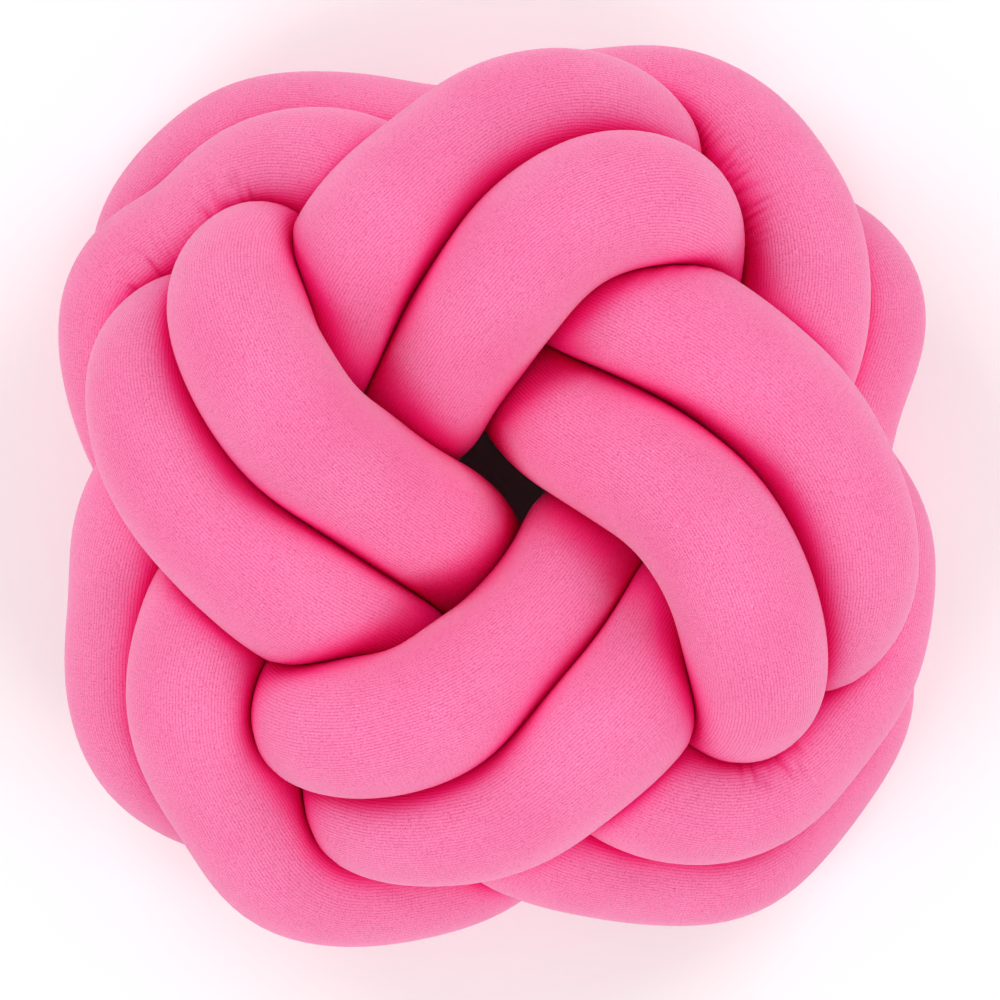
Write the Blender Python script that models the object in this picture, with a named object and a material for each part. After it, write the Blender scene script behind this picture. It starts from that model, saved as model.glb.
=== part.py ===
"""Knot cushion: one endless stuffed knit tube, laid twice round a three-lead, four-bight Turk's head.

The knot lies on its back, seen straight from above. It is drawn in millimetres and made in metres, +Z up,
with the origin on the floor below the middle of its box. The tube's centre line starts from a table of
stations, is drawn tight until the strands press on each other, and is then swept with a round section that
goes flat where it meets another strand or the floor.
"""

import bpy
import numpy as np

MM = 0.001

# Driving sizes, in millimetres.
TUBE_RADIUS = 23.0  # the stuffed tube where nothing presses on it
FLOOR_SQUASH = 4.0  # how much lower the centre line may lie on the floor than the tube's radius
CONTACT = 41.5  # distance between centre lines at which two strands start to press
PAIR_GAP = 42.0  # distance that the two lanes of a strand keep
HALF_HEIGHT = 62.0  # height towards which the knot is squeezed
STRAND_GAP = 1.6  # what stays open between two strands that press on each other
KNOT_CENTRE = (3.5, 8.3)  # where the four arms turn, from the middle of the outline

# How finely the tube is made.
RINGS = 480
SIDES = 12

# The four arms of the front, in the order in which the tube runs through them, with the direction in degrees
# in which the middle of each arm lies. Each arm turns 270 degrees clockwise, from the middle of the back over
# the front to the middle of the back again.
ARMS = (("north_west", 135), ("south_west", 225), ("south_east", 315), ("north_east", 45))

# The stations of an arm. turn: degrees past the arm's middle on the front. The others are for the lane that
# lies nearer the middle on the front (in) and for the lane beside it (out): height of the centre line, how
# firmly the station is held in plan from 0 to 1, and distance from the knot's centre in each arm.
COLUMNS = (
    ("turn",)
    + ("height in", "height out", "hold in", "hold out")
    + ("north_west in", "north_west out", "south_west in", "south_west out")
    + ("south_east in", "south_east out", "north_east in", "north_east out")
)
STATIONS = (
    (-112, 52, 30, 0.5, 0.4, 142, 112, 119, 126, 116, 104, 122, 128),
    (-90, 84, 44, 1.0, 1.0, 131, 147, 121, 144, 123, 116, 115, 144),
    (-73, 86, 54, 0.8, 0.8, 100, 146, 101, 147, 105, 130, 96, 130),
    (-57, 68, 62, 0.4, 0.4, 88, 119, 84, 122, 87, 103, 86, 104),
    (-30, 76, 76, 0.4, 0.4, 53, 103, 40, 106, 52, 100, 40, 91),
    (0, 92, 90, 1.0, 1.0, 42, 98, 30, 87, 44, 91, 31, 83),
    (22, 102, 102, 1.0, 1.0, 48, 99, 35, 90, 50, 92, 36, 95),
    (45, 112, 108, 1.0, 1.0, 61, 120, 47, 111, 63, 107, 45, 114),
    (67, 112, 88, 1.0, 1.0, 96, 109, 83, 112, 90, 110, 77, 106),
    (90, 84, 46, 0.6, 0.2, 79, 66, 97, 66, 85, 66, 97, 66),
    (112, 46, 26, 0.1, 0.4, 86, 40, 86, 40, 86, 40, 86, 40),
    (135, 23, 23, 0.2, 0.4, 102, 52, 104, 52, 106, 52, 108, 52),
)
# On the back the tube changes lanes once, so that both rounds are one endless tube.
LANE_CHANGE = ("north_west", 112)

# How the tube is drawn tight: the number of small moves, and the share of each effect in one move.
MOVES = 800
GROWING = 0.6  # share of the moves during which the strands swell to their full width
START_WIDTH = 0.45  # their width at the first move
PUSH = 0.5
PULL_TO_STATION = 0.15
HOLD_HEIGHT = 0.15  # how much less firmly a station is held in height than in plan
TENSION = 0.15
LANE_PULL = 0.25
SQUEEZE = 0.3
STIFFNESS = 0.2
EVEN_OUT = 0.25
SMOOTHING = 2.0  # rings over which a move is spread
MATE_SEARCH = 14  # rings either way in which the other lane's nearest ring is looked for

# How the section gives way.
PRESS_SHARPNESS = 9.0  # the higher, the sharper the edge between the round and the flat of a section
MOST_BULGE = 1.12  # how much wider a pressed section may grow to keep its area
BEND_ROOM = 0.8  # share of the inside of a bend that the section may fill
NEIGHBOUR_REACH = 3.2 * TUBE_RADIUS
SAME_BEND = 1.45  # in contact distances: rings nearer than this along the tube don't press on each other
FAR = 1e6

PINK = (0.96, 0.15, 0.40, 1.0)


def clear_scene():
    for obj in list(bpy.data.objects):
        bpy.data.objects.remove(obj)


def polar(radius, azimuth):
    angle = np.radians(azimuth)
    return KNOT_CENTRE[0] + radius * np.cos(angle), KNOT_CENTRE[1] + radius * np.sin(angle)


def lane_points(lane):
    """The stations of one round of the tube, as (arm, turn, (x, y, height, hold))."""
    points = []
    for arm, middle in ARMS:
        for row in STATIONS:
            station = dict(zip(COLUMNS, row))
            x, y = polar(station[f"{arm} {lane}"], middle - station["turn"])
            points.append((arm, station["turn"], (x, y, station[f"height {lane}"], station[f"hold {lane}"])))
    return points


def crossing(first, second, above):
    """The station where the tube changes lanes, over or under its other pass."""
    x, y, height, hold = (np.array(first[2]) + np.array(second[2])) / 2
    if above:
        height += TUBE_RADIUS
    else:
        height = max(height - TUBE_RADIUS, TUBE_RADIUS - FLOOR_SQUASH)
    return x, y, height, hold / 2


def stations():
    """Both rounds as one closed list of (x, y, height, hold), with one crossing at each change of lanes."""
    inner, outer = lane_points("in"), lane_points("out")
    change = [point[:2] for point in inner].index(LANE_CHANGE)
    rounds = [lane[change + 1 :] + lane[:change] for lane in (inner, outer)]
    closed = [point[2] for point in rounds[0]]
    closed.append(crossing(inner[change], outer[change], above=True))
    closed += [point[2] for point in rounds[1]]
    closed.append(crossing(inner[change], outer[change], above=False))
    return np.array(closed)


def after(values):
    return np.roll(values, -1, axis=0)


def before(values):
    return np.roll(values, 1, axis=0)


def lengths(vectors):
    return np.linalg.norm(vectors, axis=-1)


def closed_spline(points, samples=60):
    """A smooth closed curve through the points: a cubic spline over the square root of the chords."""
    count = len(points)
    spans = np.sqrt(lengths((after(points) - points)[:, :3]))
    slopes = (after(points) - points) / spans[:, None]
    system = np.zeros((count, count))
    for i in range(count):
        system[i, i - 1] += spans[i - 1]
        system[i, i] += 2 * (spans[i - 1] + spans[i])
        system[i, (i + 1) % count] += spans[i]
    bends = np.linalg.solve(system, 6 * (slopes - before(slopes)))
    curve = []
    for i in range(count):
        span, here, there = spans[i], bends[i], bends[(i + 1) % count]
        past = np.linspace(0, span, samples, endpoint=False)[:, None]
        left = span - past
        piece = (here * left**3 + there * past**3) / (6 * span)
        piece = piece + (points[i] / span - here * span / 6) * left
        piece = piece + (points[(i + 1) % count] / span - there * span / 6) * past
        curve.append(piece)
    return np.concatenate(curve)


def evenly(curve, count):
    """The closed curve as the given number of rows, evenly spaced along it."""
    closed = np.vstack([curve, curve[:1]])
    along = np.concatenate([[0], np.cumsum(lengths(np.diff(closed[:, :3], axis=0)))])
    wanted = np.linspace(0, along[-1], count, endpoint=False)
    return np.stack([np.interp(wanted, along, column) for column in closed.T], axis=1)


def smoothed(values, rings):
    """The values blurred along the closed tube by a bell curve of the given width."""
    waves = 2 * np.pi * np.fft.fftfreq(len(values))
    bell = np.exp(-0.5 * (rings * waves) ** 2)
    return np.real(np.fft.ifft(np.fft.fft(values, axis=0) * bell[:, None], axis=0))


def sag(path):
    """From each ring to the middle between its neighbours."""
    return (after(path) + before(path)) / 2 - path


def directions(path):
    forward = after(path) - before(path)
    return forward / lengths(forward)[:, None]


def tube_length(path):
    return lengths(after(path) - path).sum()


def same_bend_rings(path):
    return int(np.ceil(SAME_BEND * CONTACT * len(path) / tube_length(path)))


def close_pairs(path):
    """The rings that may press on each other, and for each ring its nearest one in the other round."""
    count = len(path)
    ring = np.arange(count)
    apart = np.abs(ring[:, None] - ring[None, :])
    apart = np.minimum(apart, count - apart)
    distance = lengths(path[:, None, :] - path[None, :, :])
    first, second = np.nonzero((apart > same_bend_rings(path)) & (distance < CONTACT + TUBE_RADIUS / 2))
    window = (ring[:, None] + count // 2 + np.arange(-MATE_SEARCH, MATE_SEARCH + 1)) % count
    mate = window[ring, np.argmin(distance[ring[:, None], window], axis=1)]
    return first, second, mate


def contact_push(path, first, second, width):
    """The push on each ring away from those nearer than the width, the nearest ones counting most."""
    count = len(path)
    away = path[first] - path[second]
    distance = lengths(away)
    overlap = np.maximum(width - distance, 0)
    weight = np.maximum(np.bincount(first, overlap, count), FAR**-1)
    pull = (overlap**2 / distance)[:, None] * away
    total = [np.bincount(first, pull[:, axis], count) for axis in range(3)]
    return np.stack(total, axis=1) / weight[:, None]


def drawn_tight(laid):
    """The laid path after the knot is drawn tight, as rings on the tube's centre line."""
    anchor, hold = laid[:, :3], np.clip(laid[:, 3:], 0, 1)
    path = anchor.copy()
    for move_number in range(MOVES):
        if move_number % 10 == 0:
            first, second, mate = close_pairs(path)
            grown = min(1.0, move_number / (GROWING * MOVES))
            width = CONTACT * (START_WIDTH + (1 - START_WIDTH) * grown)
        curve = sag(path)
        move = PUSH * contact_push(path, first, second, width)
        move += TENSION * curve * (1 - hold)
        move[:, 2:] += TENSION * curve[:, 2:] * hold
        to_mate = path[mate] - path
        spare = np.maximum(lengths(to_mate) - PAIR_GAP, 0) / lengths(to_mate)
        move += LANE_PULL * spare[:, None] * to_mate
        move += PULL_TO_STATION * hold * (anchor - path) * (1, 1, HOLD_HEIGHT)
        move[:, 2] -= SQUEEZE * np.clip(path[:, 2] / HALF_HEIGHT - 1, -1, 1)
        move = smoothed(move, SMOOTHING) - STIFFNESS * sag(curve)
        spacing = lengths(after(path) - path)
        move += EVEN_OUT * (spacing - before(spacing))[:, None] * directions(path)
        path = path + move
        path[:, 2] = np.maximum(path[:, 2], TUBE_RADIUS - FLOOR_SQUASH)
    return path


def untwisted_sides(path):
    """Two unit vectors across the tube at each ring, turning as little as a closed tube lets them."""
    forward = directions(path)
    count = len(path)
    side = np.cross(forward[0], (0, 0, 1))
    sides = []
    for i in range(count + 1):
        side = side - forward[i % count] * (side @ forward[i % count])
        side = side / lengths(side)
        sides.append(side)
    first, last = sides[0], sides.pop()
    twist = np.arctan2(last @ np.cross(forward[0], first), last @ first)
    angle = -twist * np.arange(count)[:, None] / count
    side = np.array(sides)
    up = np.cross(forward, side)
    turned = np.cos(angle) * side + np.sin(angle) * up
    return turned, np.cross(forward, turned)


def spokes_of(path, sides):
    """Unit vectors from each ring's centre to the corners of its section."""
    across, up = untwisted_sides(path)
    angle = 2 * np.pi * np.arange(sides) / sides
    cos, sin = np.cos(angle)[None, :, None], np.sin(angle)[None, :, None]
    return cos * across[:, None, :] + sin * up[:, None, :]


def reach_to_strands(path, spokes):
    """How far each spoke goes before it meets a plane halfway to another strand."""
    reach = np.full(spokes.shape[:2], FAR)
    nearest = same_bend_rings(path)
    for step in range(nearest, len(path) - nearest + 1):
        other = np.roll(path, -step, axis=0) - path
        distance = lengths(other)
        close = distance < NEIGHBOUR_REACH
        toward = np.einsum("isk,ik->is", spokes[close], other[close] / distance[close, None])
        half = (distance[close] - STRAND_GAP)[:, None] / 2
        reach[close] = np.minimum(reach[close], np.where(toward > 0, half / np.maximum(toward, FAR**-1), FAR))
    return reach


def reach_in_bend(path, spokes):
    """How far each spoke goes before the inside of the tube's own bend is full."""
    forward = directions(path)
    spacing = lengths(after(path) - before(path))
    bend = (after(forward) - before(forward)) / spacing[:, None]
    inward = np.einsum("isk,ik->is", spokes, smoothed(bend, 1.0))
    return BEND_ROOM / np.maximum(inward, FAR**-1)


def sections(path, sides):
    """The corners of every section of the tube, as rings x sides x 3."""
    spokes = spokes_of(path, sides)
    limit = np.minimum(reach_to_strands(path, spokes), reach_in_bend(path, spokes))
    floor = path[:, 2:] / np.maximum(-spokes[:, :, 2], FAR**-1)
    radius = np.full(len(path), TUBE_RADIUS)
    for _ in range(3):
        reach = (radius[:, None] ** -PRESS_SHARPNESS + limit**-PRESS_SHARPNESS) ** (-1 / PRESS_SHARPNESS)
        reach = np.minimum(reach, floor)
        area = 0.5 * (reach * after(reach.T).T).sum(axis=1) * np.sin(2 * np.pi / sides)
        full = 0.5 * sides * TUBE_RADIUS**2 * np.sin(2 * np.pi / sides)
        bulge = np.clip(np.sqrt(full / area), 1, MOST_BULGE)
        radius = TUBE_RADIUS * smoothed(bulge[:, None], SMOOTHING)[:, 0]
    return path[:, None, :] + reach[:, :, None] * spokes


def set_down(corners):
    """The corners moved so that the origin is on the floor below the middle of their box."""
    low, high = corners.min(axis=(0, 1)), corners.max(axis=(0, 1))
    return corners - ((low[0] + high[0]) / 2, (low[1] + high[1]) / 2, low[2])


def knit_material():
    material = bpy.data.materials.new("pink_knit")
    material.use_nodes = True
    shader = material.node_tree.nodes["Principled BSDF"]
    shader.inputs["Base Color"].default_value = PINK
    shader.inputs["Roughness"].default_value = 0.9
    shader.inputs["Metallic"].default_value = 0.0
    return material


def knot_tube(corners):
    """One closed tube through the sections, the last ring joined to the first."""
    rings, sides = corners.shape[:2]
    faces = []
    for ring in range(rings):
        for side in range(sides):
            here, beside = ring * sides + side, ring * sides + (side + 1) % sides
            step = sides if ring + 1 < rings else (1 - rings) * sides
            faces.append((here, beside, beside + step, here + step))
    mesh = bpy.data.meshes.new("knot_tube")
    mesh.from_pydata((corners.reshape(-1, 3) * MM).tolist(), [], faces)
    mesh.materials.append(knit_material())
    mesh.shade_smooth()
    tube = bpy.data.objects.new("knot_tube", mesh)
    bpy.context.scene.collection.objects.link(tube)
    return tube


def main():
    clear_scene()
    laid = evenly(closed_spline(stations()), RINGS)
    path = drawn_tight(laid)
    knot_tube(set_down(sections(path, SIDES)))


main()
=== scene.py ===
"""Dressed scene of the knot cushion: the stuffed knit tube, a pale floor, soft studio light and a camera.

The tube's centre line is settled here again just as the part's source does it. Its lanes are then lapped on
the face, and it is swept much finer, with dimples of the stuffing, puckers and short folds on the inside of
its bends and a fine knit as its material.
"""

import bpy
import numpy as np
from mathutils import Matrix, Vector

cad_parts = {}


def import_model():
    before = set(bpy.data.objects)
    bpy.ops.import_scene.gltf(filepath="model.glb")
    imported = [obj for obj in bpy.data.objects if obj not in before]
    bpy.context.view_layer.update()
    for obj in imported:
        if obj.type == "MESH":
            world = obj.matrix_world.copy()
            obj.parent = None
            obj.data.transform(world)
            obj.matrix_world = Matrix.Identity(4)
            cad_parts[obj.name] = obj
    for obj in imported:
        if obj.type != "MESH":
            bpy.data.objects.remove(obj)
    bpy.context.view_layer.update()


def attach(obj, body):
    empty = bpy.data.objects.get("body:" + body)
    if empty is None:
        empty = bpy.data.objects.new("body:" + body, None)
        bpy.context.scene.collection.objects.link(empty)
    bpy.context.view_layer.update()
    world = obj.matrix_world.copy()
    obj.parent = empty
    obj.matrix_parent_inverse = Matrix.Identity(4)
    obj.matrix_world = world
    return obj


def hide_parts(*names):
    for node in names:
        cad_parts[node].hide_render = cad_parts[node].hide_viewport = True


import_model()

MM = 0.001

# Driving sizes, in millimetres.
TUBE_RADIUS = 23.0  # the stuffed tube where nothing presses on it
FLOOR_SQUASH = 4.0  # how much lower the centre line may lie on the floor than the tube's radius
CONTACT = 41.5  # distance between centre lines at which two strands start to press
WATCHED = CONTACT + TUBE_RADIUS / 2  # distance within which two strands are watched
PAIR_GAP = 42.0  # distance that the two lanes of a strand keep
HALF_HEIGHT = 62.0  # height towards which the knot is squeezed
STRAND_GAP = 1.6  # what stays open between two strands that press on each other
KNOT_CENTRE = (3.5, 8.3)  # where the four arms turn, from the middle of the outline

# How finely the tube is made.
RINGS = 480
SIDES = 12

# The four arms of the front, in the order in which the tube runs through them, with the direction in degrees
# in which the middle of each arm lies. Each arm turns 270 degrees clockwise, from the middle of the back over
# the front to the middle of the back again.
ARMS = (("north_west", 135), ("south_west", 225), ("south_east", 315), ("north_east", 45))

# The stations of an arm. turn: degrees past the arm's middle on the front. The others are for the lane that
# lies nearer the middle on the front (in) and for the lane beside it (out): height of the centre line, how
# firmly the station is held in plan from 0 to 1, and distance from the knot's centre in each arm.
COLUMNS = (
    ("turn",)
    + ("height in", "height out", "hold in", "hold out")
    + ("north_west in", "north_west out", "south_west in", "south_west out")
    + ("south_east in", "south_east out", "north_east in", "north_east out")
)
STATIONS = (
    (-112, 52, 30, 0.5, 0.4, 142, 112, 119, 126, 116, 104, 122, 128),
    (-90, 84, 44, 1.0, 1.0, 131, 147, 121, 144, 123, 116, 115, 144),
    (-73, 86, 54, 0.8, 0.8, 100, 146, 101, 147, 105, 130, 96, 130),
    (-57, 68, 62, 0.4, 0.4, 88, 119, 84, 122, 87, 103, 86, 104),
    (-30, 76, 76, 0.4, 0.4, 53, 103, 40, 106, 52, 100, 40, 91),
    (0, 92, 90, 1.0, 1.0, 42, 98, 30, 87, 44, 91, 31, 83),
    (22, 102, 102, 1.0, 1.0, 48, 99, 35, 90, 50, 92, 36, 95),
    (45, 112, 108, 1.0, 1.0, 61, 120, 47, 111, 63, 107, 45, 114),
    (67, 112, 88, 1.0, 1.0, 96, 109, 83, 112, 90, 110, 77, 106),
    (90, 84, 46, 0.6, 0.2, 79, 66, 97, 66, 85, 66, 97, 66),
    (112, 46, 26, 0.1, 0.4, 86, 40, 86, 40, 86, 40, 86, 40),
    (135, 23, 23, 0.2, 0.4, 102, 52, 104, 52, 106, 52, 108, 52),
)
# On the back the tube changes lanes once, so that both rounds are one endless tube.
LANE_CHANGE = ("north_west", 112)

# How the tube is drawn tight: the number of small moves, and the share of each effect in one move.
MOVES = 800
MOVES_TO_LOOK = 10  # moves after which the rings that may press are looked for again
GROWING = 0.6  # share of the moves during which the strands swell to their full width
START_WIDTH = 0.45  # their width at the first move
PUSH = 0.5
PULL_TO_STATION = 0.15
HOLD_HEIGHT = 0.15  # how much less firmly a station is held in height than in plan
TENSION = 0.15
LANE_PULL = 0.25
SQUEEZE = 0.3
STIFFNESS = 0.2
EVEN_OUT = 0.25
SMOOTHING = 2.0  # rings over which a move is spread
MATE_SEARCH = 14  # rings either way in which the other lane's nearest ring is looked for

# How the section gives way.
PRESS_SHARPNESS = 9.0  # the higher, the sharper the edge between the round and the flat of a section
MOST_BULGE = 1.12  # how much wider a pressed section may grow to keep its area
BEND_ROOM = 0.8  # share of the inside of a bend that the section may fill
OWN_BEND_BLUR = 1.0  # rings over which a section feels its own bend
AREA_ROUNDS = 3  # times that the size of a section is worked out from its area
NEIGHBOUR_REACH = 3.2 * TUBE_RADIUS  # strands further off than this don't press
SAME_BEND = 1.45  # in contact distances: rings nearer than this along the tube don't press on each other
FAR = 1e6  # stands for no limit

# The dressed tube, in millimetres.
DRESSED_RADIUS = 24.6  # the knit's loft stands a little proud of the solid
DRESSED_GAP = -0.4  # strands that press go this much into each other, so that no slit shows between them
CREASE_SHARPNESS = 18.0  # as PRESS_SHARPNESS, for the fine sections
FINE_RINGS = 1640
FINE_SIDES = 60
PATH_DETAIL = 4  # points of the fine path for each ring of the settled one
BEND_BLUR = 8.0  # rings over which a bend is felt
RINGS_IN_BENDS = 5.0  # how much closer the rings lie in a tight bend and at folds

# On the face the lane of an arm that lies nearer the middle rides up, and the lane beside it sinks.
LAP = 5.0  # how far each of them moves
LAP_WIDTH = 15.0  # how much nearer the middle it lies where the move is mostly done
LAP_FROM = (60.0, 85.0)  # height at which the lanes start to lap, and do in full
LAP_BLUR = 5.0  # rings over which the move is spread

# Where the photograph has a strand a little beside the solid's: place, reach and move, in the object's frame.
NUDGES = (
    ((72, 105, 57), 30, (5.0, 5.5, 0.0)),
    ((64, 80, 93), 18, (-7.0, 3.0, 0.0)),
    ((116, 58, 44), 22, (6.0, 2.5, 0.0)),
    ((-118, 69, 54), 15, (-4.5, 3.0, 0.0)),
    ((48, 60, 113), 15, (1.0, 3.5, 3.0)),
)

# The ripples of the surface, each with its wave length, most turns round the tube and number of waves.
SEED = 7
WAVE_SPREAD = (0.7, 1.6)  # shortest and longest wave in a ripple, over its stated length
DIMPLE_WAVES = (55.0, 2, 24)
SWAY_WAVES = (18.0, 3, 16)
PATCH_WAVES = (16.0, 4, 16)

# Dimples lie where nothing presses, puckers in patches on the inside of a tight bend, and short folds at a
# few places on the inner side of a bend.
FREE_FROM = (0.95, 1.3)  # room over radius at which the surface starts to be free, and is
DIMPLE_DEPTH = 0.4
TIGHT_BEND = (0.35, 0.75)  # tube radius over bend radius at which a bend starts to pucker, and does in full
PUCKER_DEPTH = 1.2
PUCKER_SPACING = 4.8
PUCKER_SHARPNESS = 2.0  # the higher, the narrower a pucker or a fold
PUCKER_WANDER = 2.5  # how far the line of a pucker or a fold sways, in radians of its spacing
PATCH_FROM = (-0.4, 0.8)  # ripple at which a patch of puckers starts, and is full
FOLD_PLACES = (((83, 110, 86), 15), ((95, -94, 96), 12), ((-91, 102, 90), 10), ((-124, 76, 80), 9))
FOLD_MARGIN = TUBE_RADIUS / 2  # what the centre line adds to the reach of a place
FOLD_RINGS_FROM = (0.2, 0.6)  # nearness to a place at which the rings start to crowd, and are closest
FOLD_FROM = (-0.42, -0.05)  # as TIGHT_BEND for the folds; less than nothing is the outside of the bend
FOLD_SPACING = 3.7
FOLD_DEPTH = 1.5

# The knit: wales along the tube, each a column of stitches, and the grain of its yarn. The scale of a noise
# is in waves to a metre.
WALES = 142  # round the tube
WALE_WANDER = 1.2  # how far a wale sways, in wales
WANDER_SCALE = 60.0
COURSE = 0.95  # length of a stitch
STITCH_SLANT = 0.45  # how far the edge of a wale is ahead of its middle, in stitches
GROOVE_FROM = (0.45, 1.0)  # from the middle of a wale to its edge, where its groove starts and is deepest
GRAIN_SCALE = 1900.0
GRAIN_DETAIL = 1.0
STITCH_HEIGHT = 0.22  # over the height of a wale
GRAIN_HEIGHT = 0.5
KNIT_BUMP = 0.5
KNIT_RELIEF = 0.0003  # height of a wale, in metres

# Its colours, and the ramps that mix them: from, to, and what a ramp gives at its two ends.
PINK_DEEP = (0.93, 0.205, 0.425, 1.0)
PINK_PALE = (0.95, 0.238, 0.465, 1.0)
# painted shade of the knit's grooves and of the dips between its stitches, also taken by darker specks of
# yarn grain
PINK_GROOVE_SHADE_AND_GRAIN = (0.72, 0.06, 0.22, 1.0)
PINK_LINT = (1.0, 0.55, 0.75, 1.0)
# painted shade: the deep magenta of creases and narrow places, and the plum of the deepest creases, where
# little light reaches
PINK_SHADED = (0.92, 0.020, 0.23, 1.0)
PINK_CREVICE_SHADE = (0.80, 0.006, 0.14, 1.0)
DYE_SCALE = 28.0
DYE_RAMP = (0.3, 0.7)
GROOVE_RAMP = (0.35, 0.65, 0.3, 1.0)
STITCH_RAMP = (-1.0, 0.2, 0.25, 0.0)
GRAIN_RAMP = (0.45, 0.78, 0.0, 0.85)
LINT_SCALE = 700.0
LINT_RAMP = (0.83, 0.88)
LINT_SHARE = 0.25

# The shade painted into its creases as the light they lose, and its finish. The ramps run over how open a
# place is.
SHADE_REACH = 0.019  # in metres
SHADE_SAMPLES = 6
SHADE_RAMP = (0.88, 0.5)
CREVICE_SHADE_RAMP = (0.65, 0.3)
SPECULAR_RAMP = (0.3, 1.0, 0.0, 0.25)
SHEEN_RAMP = (0.4, 1.0, 0.0, 0.62)
SHEEN_ROUGHNESS = 0.4
SHEEN_TINT = (1.0, 0.72, 0.88, 1.0)
ROUGHNESS_RAMP = (0.2, 0.8, 0.78, 0.95)  # over the grain

# The studio, in metres.
PHOTO_SCALE = 0.345  # millimetres of the object to a pixel of the photograph
PHOTO_SIDE = 1000
PHOTO_MIDDLE = (500, 499)  # the pixel that shows the middle of the outline
CAMERA_DISTANCE = 8.0
FACE_HEIGHT = 0.075  # height at which the picture has the photograph's scale
SENSOR = 36.0  # in millimetres
FLOOR_SIDE = 30.0
FLOOR_COLOUR = (0.97, 0.97, 0.97, 1.0)
FLOOR_ROUGHNESS = 0.95
FLOOR_SPECULAR = 0.1
WORLD_COLOUR = (1.0, 1.0, 1.0, 1.0)
WORLD_LIGHT = 0.40
LAMP_SIZE = 1.3
LAMP_POWER = 12.2  # in watts
LAMP_DISTANCE = 1.8
LAMP_ELEVATION = 37.0  # in degrees, as the azimuths
LAMP_AZIMUTHS = (45.0, 135.0, 225.0, 315.0)


def polar(radius, azimuth):
    angle = np.radians(azimuth)
    return KNOT_CENTRE[0] + radius * np.cos(angle), KNOT_CENTRE[1] + radius * np.sin(angle)


def lane_points(lane):
    """The stations of one round of the tube, as (arm, turn, (x, y, height, hold))."""
    points = []
    for arm, middle in ARMS:
        for row in STATIONS:
            station = dict(zip(COLUMNS, row))
            x, y = polar(station[f"{arm} {lane}"], middle - station["turn"])
            points.append((arm, station["turn"], (x, y, station[f"height {lane}"], station[f"hold {lane}"])))
    return points


def crossing(first, second, above):
    """The station where the tube changes lanes, over or under its other pass."""
    x, y, height, hold = (np.array(first[2]) + np.array(second[2])) / 2
    if above:
        height += TUBE_RADIUS
    else:
        height = max(height - TUBE_RADIUS, TUBE_RADIUS - FLOOR_SQUASH)
    return x, y, height, hold / 2


def stations():
    """Both rounds as one closed list of (x, y, height, hold), with one crossing at each change of lanes."""
    inner, outer = lane_points("in"), lane_points("out")
    change = [point[:2] for point in inner].index(LANE_CHANGE)
    rounds = [lane[change + 1 :] + lane[:change] for lane in (inner, outer)]
    closed = [point[2] for point in rounds[0]]
    closed.append(crossing(inner[change], outer[change], above=True))
    closed += [point[2] for point in rounds[1]]
    closed.append(crossing(inner[change], outer[change], above=False))
    return np.array(closed)


def after(values):
    return np.roll(values, -1, axis=0)


def before(values):
    return np.roll(values, 1, axis=0)


def lengths(vectors):
    return np.linalg.norm(vectors, axis=-1)


def closed_spline(points, samples=60):
    """A smooth closed curve through the points: a cubic spline over the square root of the chords."""
    count = len(points)
    spans = np.sqrt(lengths((after(points) - points)[:, :3]))
    slopes = (after(points) - points) / spans[:, None]
    system = np.zeros((count, count))
    for i in range(count):
        system[i, i - 1] += spans[i - 1]
        system[i, i] += 2 * (spans[i - 1] + spans[i])
        system[i, (i + 1) % count] += spans[i]
    bends = np.linalg.solve(system, 6 * (slopes - before(slopes)))
    curve = []
    for i in range(count):
        span, here, there = spans[i], bends[i], bends[(i + 1) % count]
        past = np.linspace(0, span, samples, endpoint=False)[:, None]
        left = span - past
        piece = (here * left**3 + there * past**3) / (6 * span)
        piece = piece + (points[i] / span - here * span / 6) * left
        piece = piece + (points[(i + 1) % count] / span - there * span / 6) * past
        curve.append(piece)
    return np.concatenate(curve)


def evenly(curve, count):
    """The closed curve as the given number of rows, evenly spaced along it."""
    closed = np.vstack([curve, curve[:1]])
    along = np.concatenate([[0], np.cumsum(lengths(np.diff(closed[:, :3], axis=0)))])
    wanted = np.linspace(0, along[-1], count, endpoint=False)
    return np.stack([np.interp(wanted, along, column) for column in closed.T], axis=1)


def smoothed(values, rings):
    """The values blurred along the closed tube by a bell curve of the given width."""
    waves = 2 * np.pi * np.fft.fftfreq(len(values))
    bell = np.exp(-0.5 * (rings * waves) ** 2)
    return np.real(np.fft.ifft(np.fft.fft(values, axis=0) * bell[:, None], axis=0))


def sag(path):
    """From each ring to the middle between its neighbours."""
    return (after(path) + before(path)) / 2 - path


def directions(path):
    forward = after(path) - before(path)
    return forward / lengths(forward)[:, None]


def bend_of(path):
    """The bend at each ring as a vector towards its inside, in 1/mm."""
    forward = directions(path)
    return (after(forward) - before(forward)) / lengths(after(path) - before(path))[:, None]


def tube_length(path):
    return lengths(after(path) - path).sum()


def same_bend_rings(path):
    return int(np.ceil(SAME_BEND * CONTACT * len(path) / tube_length(path)))


def close_pairs(path):
    """The rings that may press on each other, and for each ring its nearest one in the other round."""
    count = len(path)
    ring = np.arange(count)
    apart = np.abs(ring[:, None] - ring[None, :])
    apart = np.minimum(apart, count - apart)
    distance = lengths(path[:, None, :] - path[None, :, :])
    first, second = np.nonzero((apart > same_bend_rings(path)) & (distance < WATCHED))
    window = (ring[:, None] + count // 2 + np.arange(-MATE_SEARCH, MATE_SEARCH + 1)) % count
    mate = window[ring, np.argmin(distance[ring[:, None], window], axis=1)]
    return first, second, mate


def contact_push(path, first, second, width):
    """The push on each ring away from those nearer than the width, the nearest ones counting most."""
    count = len(path)
    away = path[first] - path[second]
    distance = lengths(away)
    overlap = np.maximum(width - distance, 0)
    weight = np.maximum(np.bincount(first, overlap, count), FAR**-1)
    pull = (overlap**2 / distance)[:, None] * away
    total = [np.bincount(first, pull[:, axis], count) for axis in range(3)]
    return np.stack(total, axis=1) / weight[:, None]


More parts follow.
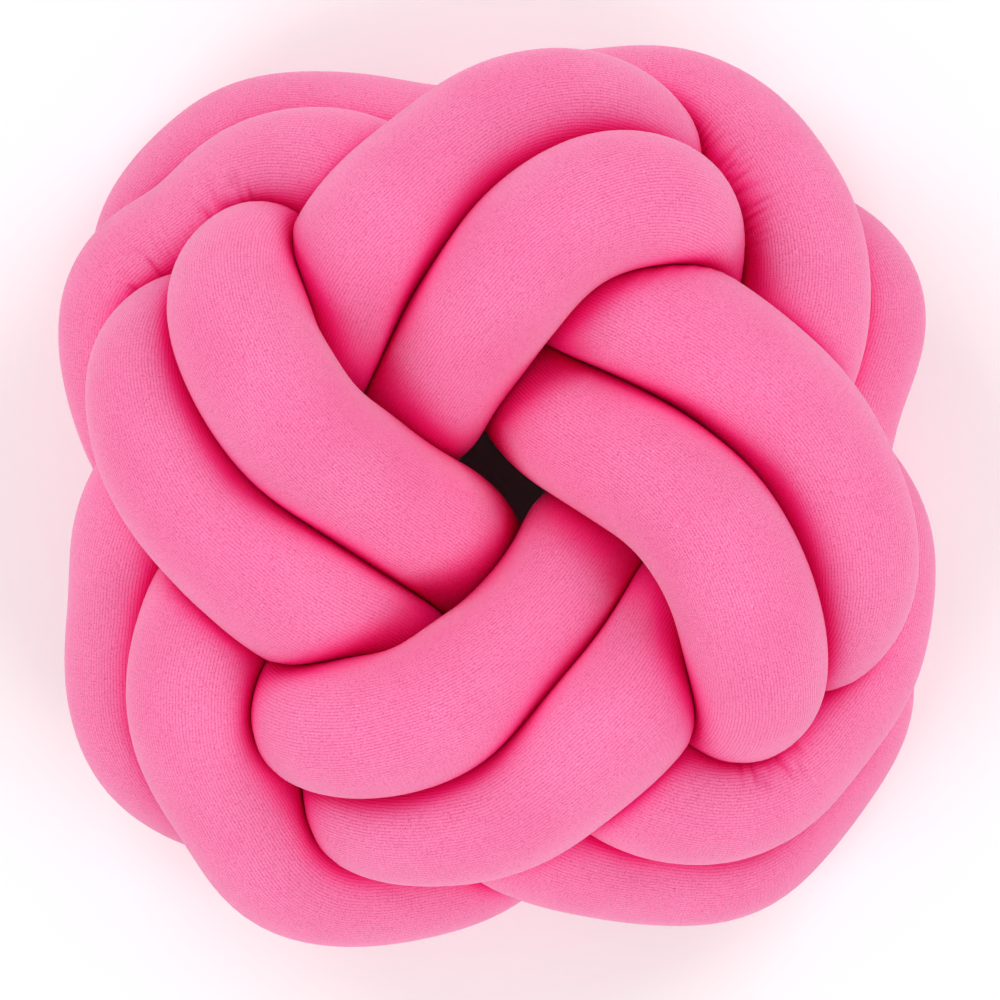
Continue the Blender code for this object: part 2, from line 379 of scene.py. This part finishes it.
def drawn_tight(laid):
    """The laid path after the knot is drawn tight, as rings on the tube's centre line."""
    anchor, hold = laid[:, :3], np.clip(laid[:, 3:], 0, 1)
    path = anchor.copy()
    for move_number in range(MOVES):
        if move_number % MOVES_TO_LOOK == 0:
            first, second, mate = close_pairs(path)
            grown = min(1.0, move_number / (GROWING * MOVES))
            width = CONTACT * (START_WIDTH + (1 - START_WIDTH) * grown)
        curve = sag(path)
        move = PUSH * contact_push(path, first, second, width)
        move += TENSION * curve * (1 - hold)
        move[:, 2:] += TENSION * curve[:, 2:] * hold
        to_mate = path[mate] - path
        spare = np.maximum(lengths(to_mate) - PAIR_GAP, 0) / lengths(to_mate)
        move += LANE_PULL * spare[:, None] * to_mate
        move += PULL_TO_STATION * hold * (anchor - path) * (1, 1, HOLD_HEIGHT)
        move[:, 2] -= SQUEEZE * np.clip(path[:, 2] / HALF_HEIGHT - 1, -1, 1)
        move = smoothed(move, SMOOTHING) - STIFFNESS * sag(curve)
        spacing = lengths(after(path) - path)
        move += EVEN_OUT * (spacing - before(spacing))[:, None] * directions(path)
        path = path + move
        path[:, 2] = np.maximum(path[:, 2], TUBE_RADIUS - FLOOR_SQUASH)
    return path


def untwisted_sides(path):
    """Two unit vectors across the tube at each ring, turning as little as a closed tube lets them."""
    forward = directions(path)
    count = len(path)
    side = np.cross(forward[0], (0, 0, 1))
    sides = []
    for i in range(count + 1):
        side = side - forward[i % count] * (side @ forward[i % count])
        side = side / lengths(side)
        sides.append(side)
    first, last = sides[0], sides.pop()
    twist = np.arctan2(last @ np.cross(forward[0], first), last @ first)
    angle = -twist * np.arange(count)[:, None] / count
    side = np.array(sides)
    up = np.cross(forward, side)
    turned = np.cos(angle) * side + np.sin(angle) * up
    return turned, np.cross(forward, turned)


def spokes_of(path, sides):
    """Unit vectors from each ring's centre to the corners of its section."""
    across, up = untwisted_sides(path)
    angle = 2 * np.pi * np.arange(sides) / sides
    cos, sin = np.cos(angle)[None, :, None], np.sin(angle)[None, :, None]
    return cos * across[:, None, :] + sin * up[:, None, :]


def reach_to_strands(path, spokes, gap=STRAND_GAP):
    """How far each spoke goes before it meets a plane halfway to another strand."""
    reach = np.full(spokes.shape[:2], FAR)
    nearest = same_bend_rings(path)
    for step in range(nearest, len(path) - nearest + 1):
        other = np.roll(path, -step, axis=0) - path
        distance = lengths(other)
        close = distance < NEIGHBOUR_REACH
        toward = np.einsum("isk,ik->is", spokes[close], other[close] / distance[close, None])
        half = (distance[close] - gap)[:, None] / 2
        reach[close] = np.minimum(reach[close], np.where(toward > 0, half / np.maximum(toward, FAR**-1), FAR))
    return reach


def reach_in_bend(path, spokes):
    """How far each spoke goes before the inside of the tube's own bend is full."""
    inward = np.einsum("isk,ik->is", spokes, smoothed(bend_of(path), OWN_BEND_BLUR))
    return BEND_ROOM / np.maximum(inward, FAR**-1)


def sections(path, sides):
    """The corners of every section of the tube, as rings x sides x 3."""
    spokes = spokes_of(path, sides)
    limit = np.minimum(reach_to_strands(path, spokes), reach_in_bend(path, spokes))
    floor = path[:, 2:] / np.maximum(-spokes[:, :, 2], FAR**-1)
    radius = np.full(len(path), TUBE_RADIUS)
    for _ in range(AREA_ROUNDS):
        reach = (radius[:, None] ** -PRESS_SHARPNESS + limit**-PRESS_SHARPNESS) ** (-1 / PRESS_SHARPNESS)
        reach = np.minimum(reach, floor)
        area = 0.5 * (reach * after(reach.T).T).sum(axis=1) * np.sin(2 * np.pi / sides)
        full = 0.5 * sides * TUBE_RADIUS**2 * np.sin(2 * np.pi / sides)
        bulge = np.clip(np.sqrt(full / area), 1, MOST_BULGE)
        radius = TUBE_RADIUS * smoothed(bulge[:, None], SMOOTHING)[:, 0]
    return path[:, None, :] + reach[:, :, None] * spokes


def finer(path, count):
    """The closed path as more rings, by its own waves."""
    waves = np.fft.rfft(path, axis=0)
    return np.fft.irfft(waves, count, axis=0) * count / len(path)


def eased(values, low, high):
    """0 below low, 1 above high and smooth between."""
    share = np.clip((values - low) / (high - low), 0, 1)
    return share * share * (3 - 2 * share)


def near(points, place, reach):
    """1 at the place, falling to nothing over a few times the reach."""
    return np.exp(-0.5 * (lengths(points - np.array(place)) / reach) ** 2)


def nudged(path):
    """The path with the strands moved that the photograph has a little elsewhere."""
    return path + sum(near(path, place, reach)[:, None] * np.array(move) for place, reach, move in NUDGES)


def folded(points, margin=0.0):
    """How near each point is to a place with short folds, from 0 to 1."""
    return np.minimum(sum(near(points, place, reach + margin) for place, reach in FOLD_PLACES), 1)


def crowded(path, count):
    """The path as rings, closer together in tight bends and at folds, with each one's way along the tube."""
    tight = eased(TUBE_RADIUS * lengths(smoothed(bend_of(path), BEND_BLUR)), *TIGHT_BEND)
    tight = np.maximum(tight, eased(folded(path, FOLD_MARGIN), *FOLD_RINGS_FROM))
    density = 1 + (RINGS_IN_BENDS - 1) * smoothed(tight[:, None], BEND_BLUR)[:, 0]
    share = np.concatenate([[0], np.cumsum(density)]) / density.sum()
    along = np.concatenate([[0], np.cumsum(lengths(after(path) - path))])
    closed = np.column_stack([np.vstack([path, path[:1]]), along])
    wanted = np.arange(count) / count
    rows = np.stack([np.interp(wanted, share, column) for column in closed.T], axis=1)
    return rows[:, :3], rows[:, 3]


def ripple(along, around, total, random, wave_length, most_turns, count):
    """Waves over the tube's surface that close both ways, mostly between -1 and 1."""
    value = np.zeros(np.broadcast(along, around).shape)
    for _ in range(count):
        waves = round(total / (wave_length * random.uniform(*WAVE_SPREAD)))
        turns = random.integers(-most_turns, most_turns + 1)
        phase = random.uniform(0, 2 * np.pi)
        value += np.cos(2 * np.pi * waves * along / total + turns * around + phase)
    return value / np.sqrt(count)


def normals_of(surface):
    along = np.roll(surface, -1, axis=0) - np.roll(surface, 1, axis=0)
    around = np.roll(surface, -1, axis=1) - np.roll(surface, 1, axis=1)
    normal = np.cross(along, around)
    outward = surface - surface.mean(axis=1, keepdims=True)
    normal = normal * np.sign((normal * outward).sum(axis=(0, 1, 2)))
    return normal / np.maximum(lengths(normal), FAR**-1)[..., None]


def lapped(path):
    """The settled path with the lanes of each arm lapped on the face."""
    mate = close_pairs(path)[2]
    from_centre = np.hypot(path[:, 0] - KNOT_CENTRE[0], path[:, 1] - KNOT_CENTRE[1])
    nearer = np.tanh((from_centre[mate] - from_centre) / LAP_WIDTH)
    facing = eased(path[:, 2], *LAP_FROM)
    lap = np.zeros_like(path)
    lap[:, 2] = LAP * nearer * facing * facing[mate]
    return path + smoothed(lap, LAP_BLUR)


def swept(path):
    """The fine sections, and for each point how tight a bend it is inside and how free it is."""
    spokes = spokes_of(path, FINE_SIDES)
    limit = np.minimum(reach_to_strands(path, spokes, DRESSED_GAP), reach_in_bend(path, spokes))
    floor = path[:, 2:] / np.maximum(-spokes[:, :, 2], FAR**-1)
    radius = np.full(len(path), DRESSED_RADIUS)
    for _ in range(AREA_ROUNDS):
        reach = (radius[:, None] ** -CREASE_SHARPNESS + limit**-CREASE_SHARPNESS) ** (-1 / CREASE_SHARPNESS)
        reach = np.minimum(reach, floor)
        area = 0.5 * (reach * after(reach.T).T).sum(axis=1) * np.sin(2 * np.pi / FINE_SIDES)
        bulge = np.clip(np.sqrt(np.pi * DRESSED_RADIUS**2 / area), 1, MOST_BULGE)
        radius = DRESSED_RADIUS * smoothed(bulge[:, None], BEND_BLUR)[:, 0]
    inside = np.einsum("isk,ik->is", spokes, smoothed(bend_of(path), BEND_BLUR)) * DRESSED_RADIUS
    free = eased(np.minimum(limit, floor) / radius[:, None], *FREE_FROM)
    return path[:, None, :] + reach[:, :, None] * spokes, inside, free


def dressed_surface():
    """The tube's points as rings x sides x 3, each ring's share of the way along the tube, and its length."""
    settled = drawn_tight(evenly(closed_spline(stations()), RINGS))
    coarse = sections(settled, SIDES)
    low, high = coarse.min(axis=(0, 1)), coarse.max(axis=(0, 1))
    middle = np.array([(low[0] + high[0]) / 2, (low[1] + high[1]) / 2, low[2]])
    laid = nudged(lapped(settled) - middle)
    path, along = crowded(finer(laid, PATH_DETAIL * RINGS), FINE_RINGS)
    total = tube_length(path)
    surface, inside, free = swept(path)
    random = np.random.default_rng(SEED)
    way = along[:, None]
    around = 2 * np.pi * np.arange(FINE_SIDES)[None, :] / FINE_SIDES
    normal = normals_of(surface)
    dimples = DIMPLE_DEPTH * free * ripple(way, around, total, random, *DIMPLE_WAVES)
    sway = ripple(way, around, total, random, *SWAY_WAVES)
    furrow = np.cos(2 * np.pi * way / PUCKER_SPACING + PUCKER_WANDER * sway)
    patchy = eased(ripple(way, around, total, random, *PATCH_WAVES), *PATCH_FROM)
    puckered = eased(inside, *TIGHT_BEND) * patchy
    puckers = -PUCKER_DEPTH * puckered * np.maximum(furrow, 0) ** PUCKER_SHARPNESS
    fold = np.cos(2 * np.pi * way / FOLD_SPACING + PUCKER_WANDER * sway)
    gathered = folded(surface) * eased(inside, *FOLD_FROM)
    folds = -FOLD_DEPTH * gathered * np.maximum(fold, 0) ** PUCKER_SHARPNESS
    surface = surface + (dimples + puckers + folds)[..., None] * normal
    surface[:, :, 2] = np.maximum(surface[:, :, 2], 0)
    return surface, along / total, total


def tube_piece(surface, along):
    """The tube as one closed mesh. Its map holds the share of the way along and around it."""
    rings, sides = surface.shape[:2]
    ring, side = np.divmod(np.arange(rings * sides), sides)
    next_ring, next_side = (ring + 1) % rings, (side + 1) % sides
    here, there = ring * sides, next_ring * sides
    faces = np.stack([here + side, there + side, there + next_side, here + next_side], axis=1)
    mesh = bpy.data.meshes.new("knot_cover")
    mesh.from_pydata((surface.reshape(-1, 3) * MM).tolist(), [], faces.tolist())
    first, last = along[ring], np.append(along[1:], 1.0)[ring]
    left, right = side / sides, (side + 1) / sides
    places = np.stack([first, left, last, left, last, right, first, right], axis=1)
    layer = mesh.uv_layers.new(name="along_around")
    layer.data.foreach_set("uv", places.reshape(-1).astype(np.float32))
    mesh.shade_smooth()
    piece = bpy.data.objects.new("knot_cover", mesh)
    bpy.context.scene.collection.objects.link(piece)
    return piece


class Shader:
    """Small helper for making a material's nodes."""

    def __init__(self, name):
        self.material = bpy.data.materials.new(name)
        self.material.use_nodes = True
        self.tree = self.material.node_tree
        self.surface = self.tree.nodes["Principled BSDF"]

    def node(self, kind, **settings):
        made = self.tree.nodes.new(kind)
        for name, value in settings.items():
            setattr(made, name, value)
        return made

    def feed(self, socket, value):
        if isinstance(value, (int, float, tuple)):
            socket.default_value = value
        else:
            self.tree.links.new(value, socket)

    def math(self, operation, first, second=0.0, third=0.0):
        made = self.node("ShaderNodeMath", operation=operation)
        for socket, value in zip(made.inputs, (first, second, third)):
            self.feed(socket, value)
        return made.outputs[0]

    def ramp(self, value, low, high, to_low=0.0, to_high=1.0):
        made = self.node("ShaderNodeMapRange", interpolation_type="SMOOTHSTEP")
        for socket, given in zip(made.inputs, (value, low, high, to_low, to_high)):
            self.feed(socket, given)
        return made.outputs["Result"]

    def noise(self, place, scale, detail=2.0):
        made = self.node("ShaderNodeTexNoise")
        self.feed(made.inputs["Vector"], place)
        self.feed(made.inputs["Scale"], scale)
        self.feed(made.inputs["Detail"], detail)
        return made.outputs["Fac"]

    def mixed(self, share, first, second):
        made = self.node("ShaderNodeMix", data_type="RGBA")
        self.feed(made.inputs["Factor"], share)
        self.feed(made.inputs["A"], first)
        self.feed(made.inputs["B"], second)
        return made.outputs["Result"]


def knit_material(total):
    """Fine jersey: wales along the tube, each a column of small stitches, with lint and uneven dye, and with
    painted shade in its creases and in its knit's grooves.
    """
    shader = Shader("pink_knit")
    place = shader.node("ShaderNodeUVMap", uv_map="along_around").outputs["UV"]
    split = shader.node("ShaderNodeSeparateXYZ")
    shader.feed(split.inputs["Vector"], place)
    position = shader.node("ShaderNodeTexCoord").outputs["Object"]
    wander = shader.noise(position, WANDER_SCALE)
    column = shader.math("MULTIPLY", split.outputs["Y"], float(WALES))
    column = shader.math("ADD", column, shader.math("MULTIPLY", wander, WALE_WANDER))
    across = shader.math("FRACT", column)
    from_middle = shader.math("ABSOLUTE", shader.math("MULTIPLY_ADD", across, 2.0, -1.0))
    course = shader.math("MULTIPLY", split.outputs["X"], float(round(total / COURSE)))
    slanted = shader.math("MULTIPLY_ADD", from_middle, STITCH_SLANT, course)
    stitch = shader.math("SINE", shader.math("MULTIPLY", slanted, 2 * np.pi))
    groove = shader.ramp(from_middle, *GROOVE_FROM)
    wale = shader.math("SUBTRACT", 1.0, groove)
    grain = shader.noise(position, GRAIN_SCALE, GRAIN_DETAIL)
    stitch_share = shader.math("MULTIPLY", stitch, wale)
    height = shader.math("MULTIPLY_ADD", stitch_share, STITCH_HEIGHT, wale)
    height = shader.math("MULTIPLY_ADD", grain, GRAIN_HEIGHT, height)
    dye = shader.noise(position, DYE_SCALE)
    colour = shader.mixed(shader.ramp(dye, *DYE_RAMP), PINK_DEEP, PINK_PALE)
    # painted shade in the knit's grooves and between its stitches, together with darker yarn grain
    groove_shade_and_grain = shader.math("MULTIPLY", groove, shader.ramp(grain, *GROOVE_RAMP))
    groove_shade_and_grain = shader.math("MAXIMUM", groove_shade_and_grain, shader.ramp(stitch_share, *STITCH_RAMP))
    groove_shade_and_grain = shader.math("MAXIMUM", groove_shade_and_grain, shader.ramp(grain, *GRAIN_RAMP))
    colour = shader.mixed(groove_shade_and_grain, colour, PINK_GROOVE_SHADE_AND_GRAIN)
    lint = shader.ramp(shader.noise(position, LINT_SCALE, 0.0), *LINT_RAMP)
    colour = shader.mixed(shader.math("MULTIPLY", lint, LINT_SHARE), colour, PINK_LINT)
    shade = shader.node("ShaderNodeAmbientOcclusion", samples=SHADE_SAMPLES, only_local=True)
    shader.feed(shade.inputs["Distance"], SHADE_REACH)
    openness = shade.outputs["AO"]
    # painted shade: where the occlusion finds a place little open, the colour turns deep magenta, and plum in
    # the narrowest creases
    colour = shader.mixed(shader.ramp(openness, *SHADE_RAMP), colour, PINK_SHADED)
    colour = shader.mixed(shader.ramp(openness, *CREVICE_SHADE_RAMP), colour, PINK_CREVICE_SHADE)
    bump = shader.node("ShaderNodeBump")
    shader.feed(bump.inputs["Strength"], KNIT_BUMP)
    shader.feed(bump.inputs["Distance"], KNIT_RELIEF)
    shader.feed(bump.inputs["Height"], height)
    inputs = shader.surface.inputs
    shader.feed(inputs["Base Color"], colour)
    shader.feed(inputs["Normal"], bump.outputs["Normal"])
    shader.feed(inputs["Roughness"], shader.ramp(grain, *ROUGHNESS_RAMP))
    shader.feed(inputs["Specular IOR Level"], shader.ramp(openness, *SPECULAR_RAMP))
    shader.feed(inputs["Sheen Weight"], shader.ramp(openness, *SHEEN_RAMP))
    shader.feed(inputs["Sheen Roughness"], SHEEN_ROUGHNESS)
    shader.feed(inputs["Sheen Tint"], SHEEN_TINT)
    return shader.material


def floor_piece():
    mesh = bpy.data.meshes.new("floor")
    side = FLOOR_SIDE / 2
    corners = [(-side, -side, 0), (side, -side, 0), (side, side, 0), (-side, side, 0)]
    mesh.from_pydata(corners, [], [(0, 1, 2, 3)])
    floor = bpy.data.objects.new("floor", mesh)
    bpy.context.scene.collection.objects.link(floor)
    shader = Shader("floor_white")
    shader.feed(shader.surface.inputs["Base Color"], FLOOR_COLOUR)
    shader.feed(shader.surface.inputs["Roughness"], FLOOR_ROUGHNESS)
    shader.feed(shader.surface.inputs["Specular IOR Level"], FLOOR_SPECULAR)
    mesh.materials.append(shader.material)
    return floor


def soft_light(name, azimuth):
    """A round softbox that looks down at the cushion from the side."""
    turn, tilt = np.radians(azimuth), np.radians(LAMP_ELEVATION)
    away = Vector((np.cos(turn) * np.cos(tilt), np.sin(turn) * np.cos(tilt), np.sin(tilt)))
    data = bpy.data.lights.new(name, "AREA")
    data.shape = "DISK"
    data.size = LAMP_SIZE
    data.energy = LAMP_POWER
    lamp = bpy.data.objects.new(name, data)
    bpy.context.scene.collection.objects.link(lamp)
    lamp.location = away * LAMP_DISTANCE
    lamp.rotation_mode = "QUATERNION"
    lamp.rotation_quaternion = away.to_track_quat("Z", "Y")
    lamp.visible_camera = False


def studio():
    world = bpy.data.worlds.new("studio")
    world.use_nodes = True
    background = world.node_tree.nodes["Background"].inputs
    background["Color"].default_value = WORLD_COLOUR
    background["Strength"].default_value = WORLD_LIGHT
    bpy.context.scene.world = world
    for azimuth in LAMP_AZIMUTHS:
        soft_light(f"softbox_{azimuth:.0f}", azimuth)
    bpy.context.scene.view_settings.view_transform = "Standard"


def camera_above():
    """The camera straight above the face, framed as the photograph is."""
    data = bpy.data.cameras.new("camera")
    data.sensor_width = SENSOR
    frame_side = PHOTO_SCALE * PHOTO_SIDE * MM
    data.lens = SENSOR * (CAMERA_DISTANCE - FACE_HEIGHT) / frame_side
    camera = bpy.data.objects.new("camera", data)
    bpy.context.scene.collection.objects.link(camera)
    x = (PHOTO_SIDE / 2 - PHOTO_MIDDLE[0]) * PHOTO_SCALE * MM
    y = -(PHOTO_SIDE / 2 - PHOTO_MIDDLE[1]) * PHOTO_SCALE * MM
    camera.location = (x, y, CAMERA_DISTANCE)
    bpy.context.scene.camera = camera


def main():
    surface, along, total = dressed_surface()
    tube = tube_piece(surface, along)
    tube.data.materials.append(knit_material(total))
    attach(tube, "root")
    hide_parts("knot_tube")
    floor_piece()
    studio()
    camera_above()


main()
